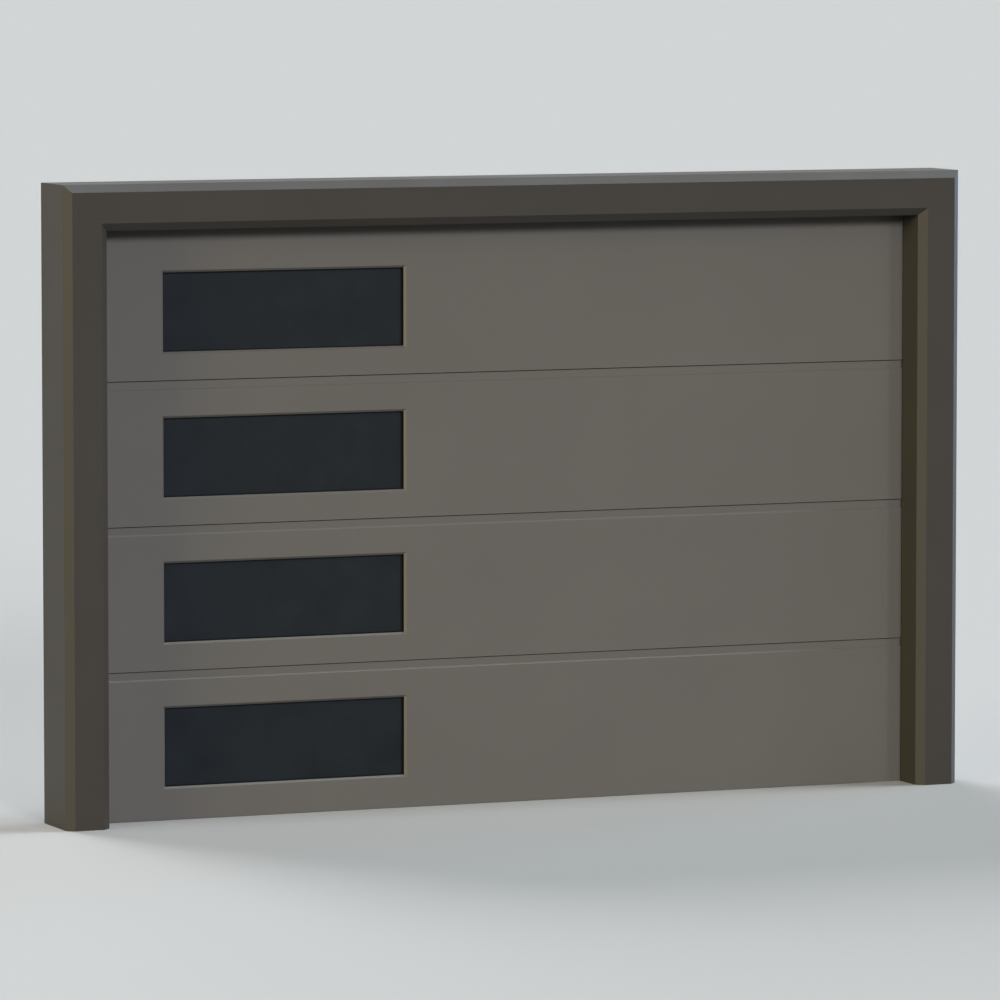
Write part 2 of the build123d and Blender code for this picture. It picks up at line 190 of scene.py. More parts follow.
class Finish(Graph):
    """A material's node tree, with one shader and the patterns that feed it."""

    def __init__(self, name: str) -> None:
        """Starts a material.

        Args:
            name: The material's name.
        """
        self.material = bpy.data.materials.new(name)
        super().__init__(self.material)
        self.shader = self.add("ShaderNodeBsdfPrincipled")
        self.add("ShaderNodeOutputMaterial", {"Surface": self.shader.outputs["BSDF"]})
        self.place = self.add("ShaderNodeTexCoord").outputs["Object"]

    def set(self, **values: object) -> None:
        """Sets inputs of the shader, which are named with underscores for spaces."""
        for name, value in values.items():
            self.feed(self.shader, name.replace("_", " "), value)

    def noise(
        self, scale: float, detail: float = 2.0, stretch: Colour = (1.0, 1.0, 1.0)
    ) -> bpy.types.NodeSocket:
        """Adds a noise.

        Args:
            scale: How many features there are to a metre.
            detail: How many finer layers are added.
            stretch: The scale along each axis.

        Returns:
            The socket of its value, about 0.5 on average.
        """
        mapping = self.add("ShaderNodeMapping", {"Vector": self.place, "Scale": stretch})
        inputs = {"Vector": mapping.outputs["Vector"], "Scale": scale, "Detail": detail}
        return self.add("ShaderNodeTexNoise", inputs).outputs[0]

    def cells(self, scale: float, place: bpy.types.NodeSocket) -> bpy.types.Node:
        """Adds a pattern of cells, scale of them to a metre, and returns its node."""
        return self.add("ShaderNodeTexVoronoi", {"Vector": place, "Scale": scale})

    def blend(self, first: object, second: object, share: float) -> bpy.types.NodeSocket:
        """Adds a share of the second pattern to the rest of the first."""
        rest = self.math("MULTIPLY", first, 1 - share)
        return self.math("ADD", rest, self.math("MULTIPLY", second, share))

    def between(
        self, value: object, low: float, high: float, bounds: tuple[float, float] = (0.3, 0.7)
    ) -> bpy.types.NodeSocket:
        """Maps a pattern from its bounds onto low and high, and no further."""
        ends = {"From Min": bounds[0], "From Max": bounds[1], "To Min": low, "To Max": high}
        return self.add("ShaderNodeMapRange", {"Value": value, **ends}).outputs["Result"]

    def mix(self, factor: object, first: object, second: object) -> bpy.types.NodeSocket:
        """Mixes two colours, plain or sockets, where factor is the share of the second."""
        inputs = {0: factor, 6: opaque(first), 7: opaque(second)}
        return self.add("ShaderNodeMix", inputs, data_type="RGBA").outputs[2]

    def shade(self, colour: Colour, pattern: object, amount: float) -> bpy.types.NodeSocket:
        """Makes a colour lighter and darker with a pattern.

        Args:
            colour: The mean colour.
            pattern: The pattern's socket.
            amount: The share by which the colour goes up and down.

        Returns:
            The socket of the result.
        """
        dark = scaled(colour, 1 - amount)
        light = scaled(colour, 1 + amount)
        return self.mix(self.between(pattern, 0.0, 1.0), dark, light)

    def bump(
        self, height: object, depth: float, below: bpy.types.NodeSocket | None = None
    ) -> bpy.types.NodeSocket:
        """Turns a pattern into relief.

        Args:
            height: The pattern's socket.
            depth: The height in metres that a value of 1 stands for.
            below: The normal of coarser relief under it.

        Returns:
            The socket of the normal.
        """
        node = self.add("ShaderNodeBump", {"Height": height, "Distance": depth})
        if below is not None:
            self.feed(node, "Normal", below)
        return node.outputs["Normal"]


def opaque(colour: object) -> object:
    """Adds an alpha of 1 to a plain colour and leaves a socket as it is."""
    return (*colour, 1.0) if isinstance(colour, tuple) else colour


def scaled(colour: Colour, factor: float) -> Colour:
    """Returns a colour made lighter or darker by a factor."""
    return (colour[0] * factor, colour[1] * factor, colour[2] * factor)


@dataclass(frozen=True)
class PowderCoat:
    """Fine satin powder coat on an aluminium extrusion."""

    name: str
    grain: Grain
    colour: Colour = (0.0515, 0.0472, 0.0430)
    unevenness: float = 0.05
    roughness: tuple[float, float] = (0.43, 0.49)
    gloss: float = 0.18
    cloud_per_metre: float = 3.0
    speck_per_metre: float = 1600.0
    speck_share: float = 0.3
    peel_per_metre: float = 420.0
    peel_depth: float = 0.05 * MILLIMETRE
    line_per_metre: float = 260.0
    line_depth: float = 0.02 * MILLIMETRE

    def material(self) -> bpy.types.Material:
        """Builds the coat: a faint cloudiness, die lines under it and an orange peel on top.

        Returns:
            The material.
        """
        graph = Finish(self.name)
        cloud = graph.noise(self.cloud_per_metre, detail=3.0)
        speck = graph.noise(self.speck_per_metre, detail=1.0)
        tone = graph.blend(cloud, speck, self.speck_share)
        lines = graph.noise(self.line_per_metre, stretch=self.grain.value)
        peel = graph.noise(self.peel_per_metre)
        relief = graph.bump(lines, self.line_depth)
        relief = graph.bump(peel, self.peel_depth, below=relief)
        graph.set(
            Base_Color=graph.shade(self.colour, tone, self.unevenness),
            Roughness=graph.between(cloud, *self.roughness),
            Normal=relief,
            Specular_IOR_Level=self.gloss,
        )
        return graph.material


@dataclass(frozen=True)
class SectionSkin:
    """Smooth coil coat on the street side of a section and grey-white stucco steel inside."""

    name: str
    inside_from: float
    colour: Colour = (0.126, 0.1195, 0.1105)
    inside_colour: Colour = (0.60, 0.59, 0.55)
    unevenness: float = 0.03
    roughness: tuple[float, float] = (0.40, 0.44)
    inside_rise: float = 0.08
    gloss: float = 0.24
    cloud_per_metre: float = 1.8
    grain_per_metre: float = 1500.0
    grain_share: float = 0.2
    peel_per_metre: float = 300.0
    peel_depth: float = 0.03 * MILLIMETRE
    wave_per_metre: float = 2.2
    wave_stretch: Colour = (1.0, 1.0, 1.6)
    wave_depth: float = 1.2 * MILLIMETRE
    stucco_per_metre: float = 240.0
    stucco_depth: float = 0.35 * MILLIMETRE

    def material(self) -> bpy.types.Material:
        """Builds both sides, told apart by their depth in the leaf.

        Returns:
            The material.
        """
        graph = Finish(self.name)
        depth = graph.add("ShaderNodeSeparateXYZ", {"Vector": graph.place}).outputs["Y"]
        inside = graph.math("GREATER_THAN", depth, self.inside_from)
        cloud = graph.noise(self.cloud_per_metre)
        grain = graph.noise(self.grain_per_metre, detail=1.0)
        tone = graph.blend(cloud, grain, self.grain_share)
        outside_colour = graph.shade(self.colour, tone, self.unevenness)
        stucco = graph.cells(self.stucco_per_metre, graph.place).outputs["Distance"]
        inside_colour = graph.shade(self.inside_colour, stucco, self.unevenness)
        wave = graph.noise(self.wave_per_metre, detail=1.0, stretch=self.wave_stretch)
        peel = graph.noise(self.peel_per_metre)
        smooth = graph.bump(wave, self.wave_depth)
        smooth = graph.bump(peel, self.peel_depth, below=smooth)
        stucco_height = graph.math("MULTIPLY", stucco, inside)
        relief = graph.bump(stucco_height, self.stucco_depth, below=smooth)
        roughness = graph.between(cloud, *self.roughness)
        rise = graph.math("MULTIPLY", inside, self.inside_rise)
        graph.set(
            Base_Color=graph.mix(inside, outside_colour, inside_colour),
            Roughness=graph.math("ADD", roughness, rise),
            Normal=relief,
            Specular_IOR_Level=self.gloss,
        )
        return graph.material


@dataclass(frozen=True)
class Rubber:
    """Matt black weather seal, with a little dust in its pores."""

    name: str
    colour: Colour = (0.010, 0.010, 0.011)
    dust: Colour = (0.030, 0.029, 0.027)
    gloss: float = 0.3
    roughness: tuple[float, float] = (0.72, 0.86)
    dust_per_metre: float = 60.0
    most_dust: float = 0.5
    dust_bounds: tuple[float, float] = (0.5, 0.8)
    pores_per_metre: float = 1800.0
    pore_depth: float = 0.05 * MILLIMETRE

    def material(self) -> bpy.types.Material:
        """Builds the rubber.

        Returns:
            The material.
        """
        graph = Finish(self.name)
        specks = graph.noise(self.dust_per_metre, detail=4.0)
        dust = graph.between(specks, 0.0, self.most_dust, self.dust_bounds)
        pores = graph.noise(self.pores_per_metre)
        graph.set(
            Base_Color=graph.mix(dust, self.colour, self.dust),
            Roughness=graph.between(pores, *self.roughness),
            Normal=graph.bump(pores, self.pore_depth),
            Specular_IOR_Level=self.gloss,
        )
        return graph.material


@dataclass(frozen=True)
class SmokedGlass:
    """Dark glazing that lets almost nothing through, with the faint roller waves of float glass."""

    name: str
    colour: Colour = (0.014, 0.018, 0.022)
    unevenness: float = 0.12
    roughness: tuple[float, float] = (0.15, 0.20)
    gloss: float = 0.13
    haze_per_metre: float = 9.0
    wave_per_metre: float = 5.0
    wave_stretch: Colour = (1.0, 1.0, 0.3)
    wave_depth: float = 0.15 * MILLIMETRE

    def material(self) -> bpy.types.Material:
        """Builds the pane.

        Returns:
            The material.
        """
        graph = Finish(self.name)
        haze = graph.noise(self.haze_per_metre, detail=3.0)
        wave = graph.noise(self.wave_per_metre, detail=0.0, stretch=self.wave_stretch)
        graph.set(
            Base_Color=graph.shade(self.colour, haze, self.unevenness),
            Roughness=graph.between(haze, *self.roughness),
            Normal=graph.bump(wave, self.wave_depth),
            Specular_IOR_Level=self.gloss,
        )
        return graph.material


@dataclass(frozen=True)
class MouldedPlastic:
    """Moulded plastic with a fine eroded grain."""

    name: str
    colour: Colour
    roughness: tuple[float, float] = (0.44, 0.56)
    unevenness: float = 0.06
    gloss: float = 0.4
    cloud_per_metre: float = 25.0
    grain_per_metre: float = 2200.0
    grain_depth: float = 0.04 * MILLIMETRE

    def material(self) -> bpy.types.Material:
        """Builds the plastic.

        Returns:
            The material.
        """
        graph = Finish(self.name)
        grain = graph.noise(self.grain_per_metre, detail=3.0)
        cloud = graph.noise(self.cloud_per_metre)
        graph.set(
            Base_Color=graph.shade(self.colour, cloud, self.unevenness),
            Roughness=graph.between(grain, *self.roughness),
            Normal=graph.bump(grain, self.grain_depth),
            Specular_IOR_Level=self.gloss,
        )
        return graph.material


@dataclass(frozen=True)
class Galvanised:
    """Hot-dip galvanised sheet with its spangle."""

    name: str
    colour: Colour = (0.50, 0.52, 0.54)
    unevenness: float = 0.10
    roughness: tuple[float, float] = (0.34, 0.50)
    spangle_per_metre: float = 130.0
    spangle_depth: float = 0.03 * MILLIMETRE
    bend_per_metre: float = 70.0
    bend: float = 6.0 * MILLIMETRE
    feather_per_metre: float = 900.0
    feather_stretch: Colour = (1.0, 1.0, 0.3)
    feather_share: float = 0.2

    def material(self) -> bpy.types.Material:
        """Builds the zinc: crystals of slightly different brightness, gloss and tilt.

        Returns:
            The material.
        """
        graph = Finish(self.name)
        bend = graph.math("MULTIPLY", graph.noise(self.bend_per_metre), self.bend)
        bent = graph.add("ShaderNodeVectorMath", {0: graph.place, 1: bend}, operation="ADD")
        crystal = graph.cells(self.spangle_per_metre, bent.outputs[0]).outputs["Color"]
        value = graph.add("ShaderNodeSeparateColor", {"Color": crystal}).outputs[0]
        feather = graph.noise(self.feather_per_metre, stretch=self.feather_stretch)
        tone = graph.blend(value, feather, self.feather_share)
        graph.set(
            Base_Color=graph.shade(self.colour, tone, self.unevenness),
            Roughness=graph.between(value, *self.roughness, bounds=(0.0, 1.0)),
            Normal=graph.bump(tone, self.spangle_depth),
            Metallic=1.0,
        )
        return graph.material


@dataclass(frozen=True)
class ZincPlate:
    """Bright zinc plating on drawn steel."""

    name: str
    colour: Colour = (0.56, 0.57, 0.58)
    unevenness: float = 0.08
    roughness: tuple[float, float] = (0.24, 0.36)
    marks_per_metre: float = 900.0
    marks_stretch: Colour = (0.05, 1.0, 1.0)
    mark_depth: float = 0.02 * MILLIMETRE
    cloud_per_metre: float = 120.0

    def material(self) -> bpy.types.Material:
        """Builds the plating, with draw marks along X.

        Returns:
            The material.
        """
        graph = Finish(self.name)
        marks = graph.noise(self.marks_per_metre, stretch=self.marks_stretch)
        cloud = graph.noise(self.cloud_per_metre, detail=3.0)
        graph.set(
            Base_Color=graph.shade(self.colour, cloud, self.unevenness),
            Roughness=graph.between(marks, *self.roughness),
            Normal=graph.bump(marks, self.mark_depth),
            Metallic=1.0,
        )
        return graph.material


def deselect() -> None:
    """Leaves edit mode and deselects every object."""
    if bpy.context.mode != "OBJECT":
        bpy.ops.object.mode_set(mode="OBJECT")
    bpy.ops.object.select_all(action="DESELECT")


def take_up(piece: bpy.types.Object) -> None:
    """Makes a piece the only selected and the active one.

    Args:
        piece: The piece.
    """
    deselect()
    piece.select_set(True)
    bpy.context.view_layer.objects.active = piece


def pick(piece: bpy.types.Object, kind: str, wanted: Callable[..., bool]) -> None:
    """Selects the vertices, edges or faces of a piece in edit mode.

    Args:
        piece: The piece.
        kind: VERT, EDGE or FACE.
        wanted: Says of one of them whether it is selected.
    """
    bpy.ops.mesh.select_mode(type=kind)
    bpy.ops.mesh.select_all(action="DESELECT")
    mesh = bmesh.from_edit_mesh(piece.data)
    for part in {"VERT": mesh.verts, "EDGE": mesh.edges, "FACE": mesh.faces}[kind]:
        part.select_set(wanted(part))
    mesh.select_flush_mode()
    bmesh.update_edit_mesh(piece.data)


def faces_up(face: bmesh.types.BMFace) -> bool:
    """Returns whether a face points straight up."""
    return face.normal.z > 0.9


def join(pieces: list[bpy.types.Object], name: str) -> bpy.types.Object:
    """Joins pieces into the first of them.

    Args:
        pieces: The pieces.
        name: The joined piece's name.

    Returns:
        The joined piece.
    """
    take_up(pieces[0])
    for piece in pieces[1:]:
        piece.select_set(True)
    if len(pieces) > 1:
        bpy.ops.object.join()
    joined = bpy.context.view_layer.objects.active
    joined.name = name
    joined.data.name = name
    return joined


def settle(piece: bpy.types.Object, material: bpy.types.Material) -> None:
    """Dresses a finished piece and fixes it to the door.

    Args:
        piece: The piece, with its place in its mesh.
        material: Its finish.
    """
    piece.data.materials.clear()
    piece.data.materials.append(material)
    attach(piece, "root")


@dataclass
class Pattern:
    """A small piece that is modelled once, copied to its places and joined."""

    model: bpy.types.Object

    def repeat(self, name: str, places: Iterable[Matrix]) -> bpy.types.Object:
        """Copies the model.

        Args:
            name: The name of the joined copies.
            places: Where each copy goes.

        Returns:
            The joined copies.
        """
        copies = []
        for place in places:
            mesh = self.model.data.copy()
            mesh.transform(place)
            copy = bpy.data.objects.new(name, mesh)
            bpy.context.scene.collection.objects.link(copy)
            copies.append(copy)
        return join(copies, name)

    def discard(self) -> None:
        """Removes the model once its copies are made."""
        bpy.data.objects.remove(self.model)


def turned(name: str, profile: list[tuple[float, float]], sides: int = 24) -> bpy.types.Object:
    """Turns an open profile round the vertical axis and leaves the piece in edit mode.

    Args:
        name: The piece's name.
        profile: The radius and height of each ring.
        sides: How many sides each ring has.

    Returns:
        The piece, open at its first and last ring.
    """
    deselect()
    radius, height = profile[0]
    bpy.ops.mesh.primitive_circle_add(vertices=sides, radius=radius, location=(0, 0, 0))
    piece = bpy.context.object
    piece.name = name
    bpy.ops.object.mode_set(mode="EDIT")
    bpy.ops.mesh.select_mode(type="EDGE")
    bpy.ops.mesh.select_all(action="SELECT")
    bpy.ops.transform.translate(value=(0, 0, height))
    for next_radius, next_height in profile[1:]:
        bpy.ops.mesh.extrude_region_move()
        growth = next_radius / radius
        bpy.ops.transform.resize(value=(growth, growth, 1), center_override=(0, 0, height))
        bpy.ops.transform.translate(value=(0, 0, next_height - height))
        radius, height = next_radius, next_height
    return piece


def upright_prism(sides: int, radius: float, height: float) -> bpy.types.Object:
    """Adds a prism that stands on the floor plane.

    Args:
        sides: How many sides it has.
        radius: The radius of its corners.
        height: Its height.

    Returns:
        The prism, with its place in its mesh.
    """
    deselect()
    bpy.ops.mesh.primitive_cylinder_add(
        vertices=sides, radius=radius, depth=height, location=(0, 0, height / 2)
    )
    bpy.ops.object.transform_apply(location=True, rotation=True, scale=True)
    return bpy.context.object


def face_outwards(piece: bpy.types.Object) -> None:
    """Makes the faces of a closed piece in edit mode face outwards and leaves edit mode.

    Args:
        piece: The piece.
    """
    bpy.ops.mesh.select_all(action="SELECT")
    bpy.ops.mesh.normals_make_consistent(inside=False)
    take_up(piece)


def close_ends() -> None:
    """Closes both ends of the piece in edit mode with a flat face each."""
    bpy.ops.mesh.select_all(action="SELECT")
    bpy.ops.mesh.fill_holes(sides=0)


def facing_inside(place: Vector, turn: float = 0.0) -> Matrix:
    """Returns the matrix that stands a fastener, modelled upright, on a face seen from inside."""
    tip = Matrix.Rotation(-math.pi / 2, 4, "X")
    return Matrix.Translation(place) @ tip @ Matrix.Rotation(math.radians(turn), 4, "Z")


def facing_sideways(place: Vector, side: int, turn: float = 0.0) -> Matrix:
    """Returns the matrix that points a fastener, modelled upright, right for 1 and left for -1."""
    tip = Matrix.Rotation(side * math.pi / 2, 4, "Y")
    return Matrix.Translation(place) @ tip @ Matrix.Rotation(math.radians(turn), 4, "Z")


@dataclass(frozen=True)
class FlangedScrew:
    """A hexagon screw with a washer face, as used on the hinges."""

    flange_sides: int = 16
    flange_radius: float = 6.2 * MILLIMETRE
    flange_height: float = 1.1 * MILLIMETRE
    head_sides: int = 6
    head_radius: float = 4.3 * MILLIMETRE
    head_height: float = 4.2 * MILLIMETRE
    head_bevel: float = 0.5 * MILLIMETRE
    dish_rim: float = 0.9 * MILLIMETRE
    dish_depth: float = 0.7 * MILLIMETRE

    def build(self) -> bpy.types.Object:
        """Models the screw with its head up and its washer face on the floor plane.

        Returns:
            The screw.
        """
        flange = upright_prism(self.flange_sides, self.flange_radius, self.flange_height)
        head = upright_prism(self.head_sides, self.head_radius, self.head_height)
        bpy.ops.object.mode_set(mode="EDIT")
        middle = self.head_height / 2
        pick(head, "EDGE", lambda edge: all(v.co.z > middle for v in edge.verts))
        bpy.ops.mesh.bevel(offset=self.head_bevel, segments=1)
        pick(head, "FACE", faces_up)
        bpy.ops.mesh.inset(thickness=self.dish_rim)
        bpy.ops.transform.translate(value=(0, 0, -self.dish_depth))
        return join([flange, head], "screw_model")


@dataclass(frozen=True)
class LowScrew:
    """A low round screw head with a star recess, as used on thin frames and inside the tracks."""

    radius: float
    height: float
    recess: float
    rings: tuple[tuple[float, float], ...] = ((1.0, 0.0), (1.0, 0.35), (0.8, 0.85), (0.62, 1.0))
    points: int = 6
    waist: float = 0.68
    depth: float = 1.0 * MILLIMETRE
    slack: float = 0.01

    def build(self) -> bpy.types.Object:
        """Models the screw with its head up and its seat on the floor plane.

        Returns:
            The screw.
        """
        profile = [(self.radius * across, self.height * up) for across, up in self.rings]
        profile.append((self.recess, self.height))
        piece = turned("low_screw_model", profile, 4 * self.points)
        close_ends()
        pick(piece, "VERT", self.is_waist)
        bpy.ops.transform.resize(value=(self.waist, self.waist, 1), center_override=(0, 0, 0))
        pick(piece, "FACE", self.is_recess)
        bpy.ops.mesh.extrude_region_move(TRANSFORM_OT_translate={"value": (0, 0, -self.depth)})
        face_outwards(piece)
        return piece

    def is_waist(self, vertex: bmesh.types.BMVert) -> bool:
        """Finds the vertices that are drawn in between the points of the star.

        Args:
            vertex: A vertex.

        Returns:
            Whether it is one of them.
        """
        on_top = vertex.co.z > self.height * (1 - self.slack)
        in_recess = vertex.co.xy.length < self.recess * (1 + self.slack)
        angle = math.atan2(vertex.co.y, vertex.co.x)
        return on_top and in_recess and math.cos(self.points * angle) < -0.5

    def is_recess(self, face: bmesh.types.BMFace) -> bool:
        """Returns whether a face is the one in the middle of the top."""
        return faces_up(face) and face.calc_center_median().xy.length < self.recess * self.slack


@dataclass(frozen=True)
class BlindRivet:
    """A domed blind rivet with the broken end of its mandrel in the middle."""

    radius: float = 3.4 * MILLIMETRE
    height: float = 1.2 * MILLIMETRE
    rings: tuple[tuple[float, float], ...] = ((1.0, 0.0), (0.94, 0.45), (0.7, 1.0))
    bore: float = 1.2 * MILLIMETRE
    depth: float = 0.5 * MILLIMETRE
    sides: int = 16

    def build(self) -> bpy.types.Object:
        """Models the rivet with its dome up and its seat on the floor plane.

        Returns:
            The rivet.
        """
        profile = [(self.radius * across, self.height * up) for across, up in self.rings]
        profile += [(self.bore, self.height), (self.bore, self.height - self.depth)]
        piece = turned("blind_rivet_model", profile, self.sides)
        close_ends()
        face_outwards(piece)
        return piece


@dataclass(frozen=True)
class Collar:
    """A flat ring round a bar, with a mouth of some degrees on one side if it is a clip."""

    bore: float
    radius: float
    height: float
    groove: float = 0.0
    mouth: float = 0.0

    def build(self) -> bpy.types.Object:
        """Models the ring with one face on the floor plane.

        Returns:
            The ring.
        """
        third = (self.radius - self.bore) / 3
        inner, outer, floor = self.bore + third, self.radius - third, self.height - self.groove
        profile = [(self.bore, 0.0), (self.radius, 0.0), (self.radius, self.height)]
        if self.groove > 0:
            profile += [(outer, self.height), (outer, floor), (inner, floor), (inner, self.height)]
        profile += [(self.bore, self.height)]
        piece = turned("collar_model", profile)
        pick(piece, "EDGE", lambda edge: edge.is_boundary)
        bpy.ops.mesh.bridge_edge_loops()
        if self.mouth > 0:
            half = math.radians(self.mouth / 2)
            pick(piece, "FACE", lambda face: self.turn_from_x(face.calc_center_median()) < half)
            bpy.ops.mesh.delete(type="FACE")
            close_ends()
        face_outwards(piece)
        return piece

    @staticmethod
    def turn_from_x(place: Vector) -> float:
        """Returns how far round the ring a place is from the X axis, in radians."""
        return abs(math.atan2(place.y, place.x))


def numbered(name: str, count: int) -> list[str]:
    """Returns the names of like nodes, numbered from 1."""
    return [f"{name}_{number}" for number in range(1, count + 1)]


@dataclass
class Assembly(ABC):
    """Nodes that are dressed together, with the small parts on them."""

    nodes: dict[str, bpy.types.Object]

    @abstractmethod
    def dress(self) -> None:
        """Gives the nodes their finishes and adds the small parts."""

    def paint(self, names: Iterable[str], material: bpy.types.Material) -> None:
        """Gives nodes a finish.

        Args:
            names: The nodes' names.
            material: The finish.
        """
        for name in names:
            for slot in self.nodes[name].material_slots:
                slot.material = material


@dataclass
class Surround(Assembly):
    """The hollow extruded frame round the opening."""

    def dress(self) -> None:
        """Gives both jambs and the head their coat."""
        upright = PowderCoat("powder_coat_upright", Grain.UPRIGHT).material()
        level = PowderCoat("powder_coat_level", Grain.LEVEL).material()
        self.paint(["frame_jamb_left", "frame_jamb_right"], upright)
        self.paint(["frame_head"], level)


@dataclass
class Leaf(Assembly):
    """The four sections."""

    count: int = 4

    def dress(self) -> None:
        """Gives the sections their coat outside and their stucco inside."""
        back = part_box("section_1")[1].y
        skin = SectionSkin("section_skin", back - 0.5 * MILLIMETRE).material()
        self.paint(numbered("section", self.count), skin)


@dataclass
class Glazing(Assembly):
    """The windows with their gaskets, spacers and inner frames."""

    count: int = 4
    screw: LowScrew = LowScrew(3.6 * MILLIMETRE, 1.7 * MILLIMETRE, 1.6 * MILLIMETRE)
    screw_inset: float = 12.0 * MILLIMETRE
    screw_end: float = 40.0 * MILLIMETRE
    screw_turn: float = 23.0
    screws_along: int = 5

    def dress(self) -> None:
        """Gives the glazing its finishes and the inner frames their screws."""
        glass = SmokedGlass("smoked_glass").material()
        self.paint(numbered("window_panes", self.count), glass)
        gasket = Rubber("gasket_rubber", (0.004, 0.004, 0.005), (0.010, 0.010, 0.009), 0.12)
        self.paint(numbered("window_gasket", self.count), gasket.material())
        black = MouldedPlastic("black_moulding", (0.026, 0.026, 0.028)).material()
        self.paint(numbered("window_frame", self.count), black)
        spacer = MouldedPlastic("spacer_moulding", (0.012, 0.012, 0.013), (0.54, 0.66)).material()
        self.paint(["window_spacers"], spacer)
        self.fasten()

    def fasten(self) -> None:
        """Puts a row of screws along the top and the bottom of each frame, and one in each side."""
        black = ZincPlate("blackened_screw", (0.055, 0.055, 0.058)).material()
        pattern = Pattern(self.screw.build())
        for number in range(1, self.count + 1):
            low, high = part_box(f"window_frame_{number}")
            start, end = low.x + self.screw_end, high.x - self.screw_end
            step = (end - start) / (self.screws_along - 1)
            rows = (low.z + self.screw_inset, high.z - self.screw_inset)
            spots = [(start + step * i, z) for i in range(self.screws_along) for z in rows]
            middle = (low.z + high.z) / 2
            spots += [(low.x + self.screw_inset, middle), (high.x - self.screw_inset, middle)]
            places = [
                facing_inside(Vector((x, high.y, z)), self.screw_turn * index)
                for index, (x, z) in enumerate(spots)
            ]
            settle(pattern.repeat(f"window_frame_screws_{number}", places), black)
        pattern.discard()


@dataclass
class Seals(Assembly):
    """The rubber round the leaf and in its joints."""

    joints: int = 3
    strip_front: float = 8.0 * MILLIMETRE
    strip_depth: float = 3.0 * MILLIMETRE
    strip_height: float = 2.6 * MILLIMETRE
    strip_bevel: float = 0.8 * MILLIMETRE
    gap_height: float = 3.0 * MILLIMETRE
    tongue_rise: float = 15.5 * MILLIMETRE

    def dress(self) -> None:
        """Gives the seals their rubber and adds the strips in the joints."""
        rubber = Rubber("seal_rubber").material()
        self.paint(["seal_left", "seal_right", "seal_head", "seal_foot"], rubber)
        strips = [self.strip(number) for number in range(1, self.joints + 1)]
        settle(join(strips, "joint_strips"), rubber)
        log.info("  joint_strips: %d", len(strips))

    def strip(self, number: int) -> bpy.types.Object:
        """Models the strip in the gap over a section, rounded towards the street.

        Args:
            number: The section under the joint.

        Returns:
            The strip.
        """
        low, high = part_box(f"section_{number}")
        middle = high.z - self.tongue_rise + self.gap_height / 2
        front = low.y + self.strip_front
        deselect()
        bpy.ops.mesh.primitive_cube_add(
            size=1,
            location=((low.x + high.x) / 2, front + self.strip_depth / 2, middle),
            scale=(high.x - low.x, self.strip_depth, self.strip_height),
        )
        piece = bpy.context.object
        bpy.ops.object.transform_apply(location=True, rotation=True, scale=True)
        bpy.ops.object.mode_set(mode="EDIT")
        near = front + self.strip_depth / 2
        pick(
            piece,
            "EDGE",
            lambda edge: edge_runs_along_x(edge) and all(v.co.y < near for v in edge.verts),
        )
        bpy.ops.mesh.bevel(offset=self.strip_bevel, segments=2)
        take_up(piece)
        return piece


def edge_runs_along_x(edge: bmesh.types.BMEdge) -> bool:
    """Returns whether an edge is parallel to the length of the door."""
    return abs(edge.verts[0].co.x - edge.verts[1].co.x) > 1.0


